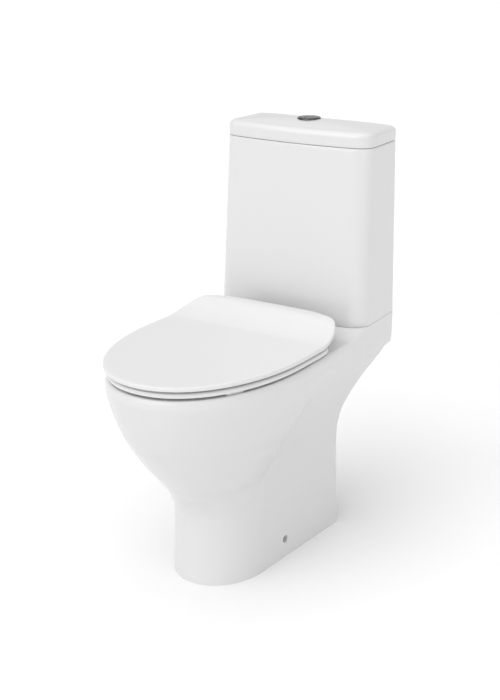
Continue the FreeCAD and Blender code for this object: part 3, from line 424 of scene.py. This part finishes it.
def deck_rows(brim):
    """The deck, in from the rounded edge to the bowl's mouth, then down inside the bowl."""
    rows = []
    mouth_x, mouth_y = cavity_outline(DECK_Z, MOUTH_ROUND, TURN, CENTRE_Y)
    for a in np.linspace(0, 1, 44)[1:]:
        x, y = brim[:, 0] + (mouth_x - brim[:, 0]) * a, brim[:, 1] + (mouth_y - brim[:, 1]) * a
        rows.append(np.column_stack([x, y, deck_height(x, y)]))
    for a in (0.3, 0.6, 1.0):
        angle = a * math.pi / 2
        x, y = cavity_outline(DECK_Z, MOUTH_ROUND * (1 - math.sin(angle)), TURN, CENTRE_Y)
        rows.append(flat_row(x, y, DECK_Z - MOUTH_ROUND * (1 - math.cos(angle))))
    for z in np.linspace(DECK_Z - 2 * MOUTH_ROUND, WELL_FOOT, 44):
        centre = CENTRE_Y + (-5.0 - CENTRE_Y) * smooth((300 - z) / 60.0)
        x, y = cavity_outline(z, 0.0, TURN, float(centre), 10.0)
        rows.append(flat_row(x, y, z))
    last = rows[-1]
    for a, drop in ((0.75, 4.0), (0.4, 7.0), (0.0, 8.0)):
        rows.append(flat_row(last[:, 0] * a, -5 + (last[:, 1] + 5) * a, WELL_FOOT - drop))
    return rows


def bowl_shell(skin):
    """The back of the bowl's wall, seen through the open back of the pedestal."""
    rows = []
    angle = np.linspace(-math.pi / 2, math.pi / 2, 60)
    for z in np.linspace(420, SHELL_FOOT, 30):
        x, y = cavity_outline(z, WALL, angle, 0.0, 12.0)
        x[0] = x[-1] = 0.0
        rows.append(flat_row(x, y, z))
    last = rows[-1]
    for a, drop in ((0.7, 9.0), (0.35, 13.0), (0.0, 14.0)):
        rows.append(flat_row(last[:, 0] * a, last[:, 1] * a, SHELL_FOOT - drop))
    skin.ring(np.array(rows))


def waste_ways(skin):
    """The trap, the outlet's spigot and the flush inlet."""
    steps, spigot, bore, turns = 40, 51.0, 43.0, 56
    way = [(20, 224), (66, 238), (108, 276), (150, 262), (182, 205), (222, OUTLET_Z)]
    trap = spline([(0, y, z) for y, z in way], steps)
    pipe(skin, trap, [34.0 + 14.0 * smooth((i - 30) / 9.0) for i in range(steps)])
    profile = [(0.01, 214), (bore, 214), (bore, OUTLET_END - 1), (bore + 1, OUTLET_END),
               (spigot - 1.5, OUTLET_END), (spigot, OUTLET_END - 1.5), (spigot, 206), (30, 200)]
    a = np.linspace(0, 2 * math.pi, turns, endpoint=False)
    skin.grid([np.stack([r * np.cos(a), np.full(turns, y), OUTLET_Z + r * np.sin(a)], -1)
               for r, y in profile], wrap=True)
    lathe(skin, [(0.01, 368), (50, 368), (54, 372), (54, 420)], (0, VALVE_Y))


def drill_sides(pan):
    """The fixing holes, one through each side of the pedestal."""
    for side in (-1, 1):
        cutter = bpy.data.meshes.new("hole_cutter")
        bm = bmesh.new()
        bmesh.ops.create_cone(bm, cap_ends=True, segments=48, radius1=FIX_RADIUS,
                              radius2=FIX_RADIUS, depth=0.05)
        bmesh.ops.rotate(bm, verts=bm.verts, matrix=Matrix.Rotation(math.pi / 2, 3, "Y"))
        bmesh.ops.translate(bm, verts=bm.verts, vec=(side * FIX_AT[0], FIX_AT[1], FIX_AT[2]))
        bm.to_mesh(cutter)
        bm.free()
        tool = bpy.data.objects.new("hole_cutter", cutter)
        bpy.context.scene.collection.objects.link(tool)
        cut = pan.modifiers.new("hole", "BOOLEAN")
        cut.operation, cut.solver, cut.object = "DIFFERENCE", "FAST", tool
        bpy.context.view_layer.update()
        graph = bpy.context.evaluated_depsgraph_get()
        done = bpy.data.meshes.new_from_object(pan.evaluated_get(graph))
        pan.modifiers.clear()
        pan.data = done
        bpy.data.objects.remove(tool)


def make_pan():
    skin, sharp = Skin(), 32.0
    # where each column of the band meets its lower edge
    edge_y = outline_hits(band_field(np.full(TURN.shape, 372.0)), TURN, CENTRE_Y)[1]
    edge_z = band_edge(edge_y)
    outer, inner = pedestal_rows(edge_z, 0.0), pedestal_rows(edge_z, -WALL)
    skin.arch(outer)
    skin.arch(inner)
    skin.arch(np.stack([outer[0], inner[0]]))
    edge = np.stack([outer[:, -1], inner[:, -1]])
    skin.grid(edge)
    skin.grid(edge * np.array([-1.0, 1, 1]))
    rows = band_rows(edge_y, edge_z)
    rows = np.array(rows + deck_rows(rows[-1]))
    rows[:, 0, 0] = rows[:, -1, 0] = 0.0
    skin.ring(rows)
    # underside of the band, and the hollow above it
    skin.arch(np.stack([outer[-1], rows[0][:SIDE_COLS]]))
    roof_z = DECK_Z - DECK_PLATE
    brow = inner[-1]
    skin.arch(np.array([brow, brow * [1, 1, 0] + [0, 0, roof_z], brow * [0, 1, 0] + [0, 0, roof_z]]))
    lip = rows[0][SIDE_COLS - 1:]
    up = lip.copy()
    up[:, 1] = WALL_Y - WALL
    over = up.copy()
    over[:, 2] = roof_z
    for flip in (1.0, -1.0):
        skin.grid(np.stack([lip, up, over]) * np.array([flip, 1, 1]))
    bowl_shell(skin)
    waste_ways(skin)
    pan = skin.build("pan_skin", sharp)
    drill_sides(pan)
    pan.data.set_sharp_from_angle(angle=math.radians(sharp))
    return pan


# ------------------------------------------------------------ cistern

def make_tank():
    outer = [(SHELF_Z + 0.05, 1.4), (SHELF_Z + 0.5, 0.5), (SHELF_Z + 1.3, 0.0)]
    outer += [(z, 0.0) for z in np.linspace(SHELF_Z + 12, TANK_TOP - 10, 20)]
    outer += [(TANK_TOP - 1.4, 0.0), (TANK_TOP - 0.5, 0.4), (TANK_TOP, 1.4)]
    inner = [(TANK_TOP, TANK_WALL - 1.0), (TANK_TOP - 1.0, TANK_WALL)]
    inner += [(z, TANK_WALL) for z in np.linspace(TANK_TOP - 20, 470, 10)]
    inner += [(464, 11.0), (461.5, 16.0)]
    rows = []
    for z, inset in outer + inner:
        share = (z - SHELF_Z) / (TANK_TOP - SHELF_Z)
        rows.append(level(tank_half(share, inset, WALL_Y - inset), z))
    # the base and the floor close on the plane of symmetry
    rows = [rows[0] * [0.0, 1, 1]] + rows + [rows[-1] * [0.0, 1, 1]]
    return Skin().ring(np.array(rows)).build("cistern_skin", 40.0)


def make_cover():
    foot, upright, soft_edge = TANK_TOP + 1.0, 18.0, 15.0
    round_rise, dome_rise, dome_reach = 10.0, 9.6, 150.0
    mid = np.array([0.0, 256.0])

    def top(inset):
        """Height of the cover's skin at a distance in from its side."""
        share = np.minimum(inset / soft_edge, 1.0)
        rounded = round_rise * (1 - (1 - share) ** 2.4) ** 0.5
        return foot + upright + rounded + dome_rise * (1 - (1 - inset / dome_reach) ** 2)

    rows = [level(tank_half(1.0, d, WALL_Y - d), foot + h)
            for h, d in ((22.0, 30.0), (15.0, 11.0), (0.6, 8.0), (0.0, 7.0), (0.0, 1.0), (0.5, 0.3))]
    rows += [level(tank_half(1.0), foot + h) for h in (3.0, 8.0, 13.0)]
    for a in np.linspace(0, 1, 18):
        inset = soft_edge * (1 - math.cos(a * math.pi / 2))
        rows.append(level(tank_half(1.0, inset, WALL_Y - inset), float(top(inset))))
    crown = rows[-1][:, :2]
    for a in np.linspace(1, 0, 30)[1:]:
        inset = soft_edge + (dome_reach - soft_edge) * (1 - a)
        rows.append(level(mid + (crown - mid) * a, float(top(inset))))
    rows.insert(0, level(np.tile(mid, (len(crown), 1)), foot + 22.0))
    return Skin().ring(np.array(rows)).build("cistern_lid_skin", 44.0)


# ------------------------------------------------------------ seat

# half width, front and back of the seat lid and of the ring
LID_PLAN, RING_PLAN = (177.0, -325.0, 128.0), (173.5, -319.5, 72.0)
LID_TOP, LID_HOLLOW, LID_MID = 458.2, 453.0, -60.0


def seat_half(half, front, back, inset=0.0, count=90, sharp_back=4.3, middle=SEAT_MID):
    """Right half of the seat's plan, front to back, respaced evenly."""
    a = np.linspace(-math.pi / 2, math.pi / 2, 1500)
    c, s = np.cos(a), np.sin(a)
    power = np.where(s < 0, 2 / 2.1, 2 / sharp_back)
    x = (half - inset) * np.abs(c) ** power
    depth = np.where(s < 0, middle - front - inset, back - middle - inset)
    y = middle + depth * np.sign(s) * np.abs(s) ** power
    run = np.concatenate([[0], np.cumsum(np.hypot(np.diff(x), np.diff(y)))])
    at = np.linspace(0, run[-1], count)
    x, y = np.interp(at, run, x), np.interp(at, run, y)
    x[0] = x[-1] = 0.0
    return np.column_stack([x, y])


def lid_rise(y):
    """Rise of the lid towards the hinges: a long hollow that ends in a crest."""
    share = np.clip((y - 15.0) / 86.0, 0.0, 2.0)
    return 25.5 * soft_min(share ** 1.6, np.full(np.shape(share), 1.0), 0.12)


def risen(points, z):
    """Plan points at a height of the lid, which rises towards the hinges."""
    return level(points, z + lid_rise(points[:, 1]))


def arm(skin, side, x0, x1, spine, thick=9.0):
    """A hinge arm between two widths: a rounded strip along a side profile."""
    path = spline([(0, y, z) for y, z in spine], 22)
    ahead = np.gradient(path, axis=0)
    ahead /= np.linalg.norm(ahead, axis=1)[:, None]
    section = [(0, -1), (.85, -1), (1, -.8), (1, .8), (.85, 1), (-.85, 1), (-1, .8), (-1, -.8), (-.85, -1)]
    middle, reach = side * ((x0 + x1) / 2), (x1 - x0) / 2
    rows = []
    for p, d in zip(path, ahead):
        up = np.array([0, -d[2], d[1]])
        rows.append([p + np.array([middle + u * reach, 0, 0]) + up * v * thick / 2 for u, v in section])
    rows = np.array(rows)
    ends = [rows[i:i + 1 or None].mean(1, keepdims=True).repeat(len(section), 1) for i in (0, -1)]
    skin.grid(np.concatenate([ends[0], rows, ends[1]]), wrap=True)


def sleeve(skin, side, x0, x1, radius=9.6, bore=7.05, soft=0.8, turns=36):
    """The barrel at the end of a hinge arm, about the hinge line."""
    a = np.linspace(0, 2 * math.pi, turns, endpoint=False)
    profile = ((x0, bore), (x0, radius - soft), (x0 + soft, radius),
               (x1 - soft, radius), (x1, radius - soft), (x1, bore))
    rows = [np.stack([np.full(turns, side * x), HINGE_Y + r * np.cos(a), HINGE_Z + r * np.sin(a)], -1)
            for x, r in profile]
    skin.grid(rows, wrap=True)


def make_seat_lid():
    skin = Skin()
    edge = [(30.0, LID_HOLLOW), (9.0, LID_HOLLOW), (6.5, 452.4), (6.0, 450.6), (5.2, 450.1), (1.4, 450.0),
            (0.5, 450.4), (0.1, 451.3), (0.0, 453.0), (0.0, 455.2), (0.35, 456.6), (1.1, 457.5),
            (2.2, 457.95), (4.0, 458.1), (9.0, LID_TOP)]
    rows = [risen(seat_half(*LID_PLAN, inset), z) for inset, z in edge]

    def shrunk(points, a):
        return np.column_stack([points[:, 0] * a, LID_MID + (points[:, 1] - LID_MID) * a])

    rim, low = seat_half(*LID_PLAN, 9.0), seat_half(*LID_PLAN, 30.0)
    above = [risen(shrunk(rim, a), LID_TOP) for a in np.linspace(1, 0, 40)[1:]]
    below = [risen(shrunk(low, a), LID_HOLLOW) for a in np.linspace(0, 1, 26)[:-1]]
    skin.ring(np.array(below + rows + above))
    for side in (-1, 1):
        arm(skin, side, 93, 109, [(72, 462), (92, 466), (108, 466)])
        sleeve(skin, side, 93, 109)
    return skin.build("seat_lid_skin", 50.0)


def make_seat_ring():
    skin = Skin()
    edge = [(3.0, 436.4), (1.2, 436.5), (0.4, 437.1), (0.0, 438.8), (0.0, 440.6), (0.4, 442.4),
            (1.3, 443.9), (3.0, 445.0), (6.0, 445.5), (12.0, 445.8)]
    rim = [(-12.0, 447.0), (-7.0, 446.6), (-3.5, 445.4), (-1.4, 443.6), (-0.3, 441.0), (0.0, 438.5),
           (-0.6, 437.0), (-2.0, 436.4)]
    rows = [level(seat_half(*RING_PLAN, inset, sharp_back=7.5), z) for inset, z in edge]
    hole = [level(seat_half(107.0, -236.0, 34.0, inset, sharp_back=2.4, middle=-70.0), z)
            for inset, z in rim]
    between = [rows[-1] + (hole[0] - rows[-1]) * t for t in np.linspace(0, 1, 10)[1:-1]]
    skin.ring(np.array(rows + between + hole + [rows[0]]))
    for side in (-1, 1):
        arm(skin, side, 46, 62, [(58, 442), (76, 446), (94, 455), (106, 461)])
        sleeve(skin, side, 46, 62)
    return skin.build("seat_ring_skin", 50.0)


# ------------------------------------------------------------ buttons

def make_flange():
    skin = Skin()
    # radius, depth below the button's top
    profile = [(19.3, 14), (19.3, 1.4), (19.8, 0.9), (20.6, 0.8), (22.0, 1.2), (22.9, 2.0),
               (23.3, 3.0), (23.3, 3.9), (20.0, 4.0), (20.0, 14), (19.3, 14)]
    lathe(skin, [(r, BUTTON_TOP - drop) for r, drop in profile], (0, BUTTON_Y), 96)
    return skin.build("button_flange", 50.0)


def make_button(side, name):
    """Half of the round push button, parted by an S-shaped gap."""
    skin = Skin()
    radius, depth, sway, gap, soft, dome = 19.0, 9.0, 4.2, 0.35, 1.1, 0.0016
    y = np.sin(np.linspace(-1, 1, 61) * math.pi / 2) * radius * 0.9985
    first = sway * np.sin(math.pi * y / radius) + side * gap
    last = side * np.sqrt(radius ** 2 - y ** 2)
    first = np.where((last - first) * side < 0.02, last - side * 0.02, first)
    rows = []
    u = np.concatenate([[0, .03, .07, .12], np.linspace(.2, .8, 9), [.88, .93, .97, 1]])
    for t in u:
        x = first + (last - first) * t
        edge = np.clip(np.minimum(np.abs(x - first), radius - np.hypot(x, y)), 0, soft)
        rolled = 0.9 * (1 - np.sqrt(1 - (1 - edge / soft) ** 2))
        z = BUTTON_TOP - 0.25 - rolled - dome * (x ** 2 + y ** 2)
        rows.append(np.column_stack([x, y + BUTTON_Y, z]))
    rows = np.array(rows)
    low = rows.copy()
    low[:, :, 2] = BUTTON_TOP - depth
    skin.grid(rows)
    skin.grid(low)
    for i in (0, -1):
        skin.grid(np.stack([rows[i], low[i]]))
    for i in (0, -1):
        skin.grid(np.stack([rows[:, i], low[:, i]]))
    return skin.build(name, 50.0)


# ------------------------------------------------------------ materials

def material(name, colour, rough, metal=0.0, coat=0.0, bump=0.0, scale=60.0, spread=0.0, specular=0.5):
    """A plain colour whose relief and roughness vary a little, in the piece's own space."""
    mat = bpy.data.materials.new(name)
    mat.use_nodes = True
    tree = mat.node_tree
    shader = tree.nodes["Principled BSDF"]
    shader.inputs["Base Color"].default_value = (*colour, 1)
    shader.inputs["Roughness"].default_value = rough
    shader.inputs["Metallic"].default_value = metal
    shader.inputs["Coat Weight"].default_value = coat
    shader.inputs["Coat Roughness"].default_value = 0.05
    shader.inputs["IOR"].default_value = 1.5
    shader.inputs["Specular IOR Level"].default_value = specular
    if bump or spread:
        where = tree.nodes.new("ShaderNodeTexCoord")
        noise = tree.nodes.new("ShaderNodeTexNoise")
        noise.inputs["Scale"].default_value = scale
        noise.inputs["Detail"].default_value = 3.0
        tree.links.new(where.outputs["Object"], noise.inputs["Vector"])
    if bump:
        rise = tree.nodes.new("ShaderNodeBump")
        rise.inputs["Strength"].default_value = bump
        rise.inputs["Distance"].default_value = 0.001
        tree.links.new(noise.outputs["Fac"], rise.inputs["Height"])
        tree.links.new(rise.outputs["Normal"], shader.inputs["Normal"])
    if spread:
        remap = tree.nodes.new("ShaderNodeMapRange")
        remap.inputs["To Min"].default_value = max(rough - spread, 0.0)
        remap.inputs["To Max"].default_value = rough + spread
        tree.links.new(noise.outputs["Fac"], remap.inputs["Value"])
        tree.links.new(remap.outputs["Result"], shader.inputs["Roughness"])
    return mat


LOOKS = {
    "ceramic": material("glaze", (0.68, 0.68, 0.68), 0.22, coat=0.15, bump=0.02, scale=14, spread=0.03),
    "seat_plastic": material("seat_resin", (0.71, 0.71, 0.71), 0.3, spread=0.03, scale=30),
    "chrome": material("dark_chrome", (0.1, 0.104, 0.108), 0.16, metal=1.0, spread=0.03, scale=200),
    "steel": material("zinc_steel", (0.58, 0.58, 0.6), 0.3, metal=1.0, spread=0.08, scale=300),
    "white_plastic": material("white_moulding", (0.72, 0.73, 0.74), 0.42, bump=0.05, scale=400),
    "grey_plastic": material("grey_moulding", (0.16, 0.17, 0.19), 0.45, bump=0.05, scale=400),
    "rubber": material("black_rubber", (0.025, 0.025, 0.027), 0.7, bump=0.2, scale=500),
    "pale_rubber": material("pale_rubber", (0.6, 0.6, 0.6), 0.6, bump=0.1, scale=500),
    "brass": material("nut_brass", (0.62, 0.45, 0.2), 0.33, metal=1.0, spread=0.08, scale=200),
}


for piece in frame["record"]["subparts"]:
    node = frame["nodes"][piece["node"]]
    if node.material_slots:
        for held in node.material_slots:
            held.material = LOOKS[piece["material_slot"]]
    else:
        node.data.materials.append(LOOKS[piece["material_slot"]])

PAN_NODES = sorted(name for name in frame["nodes"] if name.startswith("pan"))
for obj, body, node, look in (
        (make_pan(), "toilet", "pan", "ceramic"),
        (make_tank(), "toilet", "cistern", "ceramic"),
        (make_cover(), "tank_cover", "cistern_lid", "ceramic"),
        (make_seat_lid(), "seat_cover", "seat_lid", "seat_plastic"),
        (make_seat_ring(), "seat", "seat_ring", "seat_plastic"),
        (make_flange(), "tank_cover", "button_housing", "chrome"),
        (make_button(1, "full_button_skin"), "full_flush_button", "button_full", "chrome"),
        (make_button(-1, "half_button_skin"), "half_flush_button", "button_half", "chrome")):
    obj.data.materials.append(LOOKS[look])
    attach(obj, body)
    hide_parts(*(PAN_NODES if node == "pan" else [node]))


# ------------------------------------------------------------ stage

def stage_floor(reach=40.0):
    mesh = bpy.data.meshes.new("floor")
    corners = [(-reach, -reach, 0), (reach, -reach, 0), (reach, reach, 0), (-reach, reach, 0)]
    mesh.from_pydata(corners, [], [(0, 1, 2, 3)])
    obj = bpy.data.objects.new("floor", mesh)
    bpy.context.scene.collection.objects.link(obj)
    obj.data.materials.append(material("floor_white", (0.9, 0.9, 0.9), 0.9, specular=0.0))


def place_at(obj, place, aim):
    """Puts a light or the camera somewhere, turned to face a point."""
    bpy.context.scene.collection.objects.link(obj)
    obj.location = place
    obj.rotation_euler = (Vector(aim) - Vector(place)).to_track_quat("-Z", "Y").to_euler()


def area_light(name, place, aim, size, power):
    data = bpy.data.lights.new(name, "AREA")
    data.shape = "RECTANGLE"
    data.size, data.size_y = size
    data.energy = power
    place_at(bpy.data.objects.new(name, data), place, aim)


def sun_light(name, place, power, spread):
    """A wide soft light from far away, so that the floor is lit evenly."""
    data = bpy.data.lights.new(name, "SUN")
    data.energy = power
    data.angle = math.radians(spread)
    place_at(bpy.data.objects.new(name, data), place, (0, 0, 0))


def white_world(strength):
    world = bpy.data.worlds.new("studio")
    world.use_nodes = True
    background = world.node_tree.nodes["Background"]
    background.inputs["Color"].default_value = (1, 1, 1, 1)
    background.inputs["Strength"].default_value = strength
    bpy.context.scene.world = world


def set_camera(place, aim, lens):
    data = bpy.data.cameras.new("camera")
    data.lens = lens
    data.sensor_width = 36.0
    data.clip_end = 200.0
    eye = bpy.data.objects.new("camera", data)
    place_at(eye, place, aim)
    bpy.context.scene.camera = eye


stage_floor()
sun_light("overhead", (-0.1, -0.25, 1.0), 0.95, 70)
sun_light("front", (-0.15, -1.0, 0.75), 0.95, 60)
area_light("right", (2.8, -1.0, 1.4), (0, 0, 0.5), (1.6, 2.0), 7)
white_world(0.68)
bpy.context.scene.view_settings.view_transform = "Standard"
set_camera((1.2568, -1.9102, 1.2202), (0.02622, 0.0, 0.4285), 65.27)
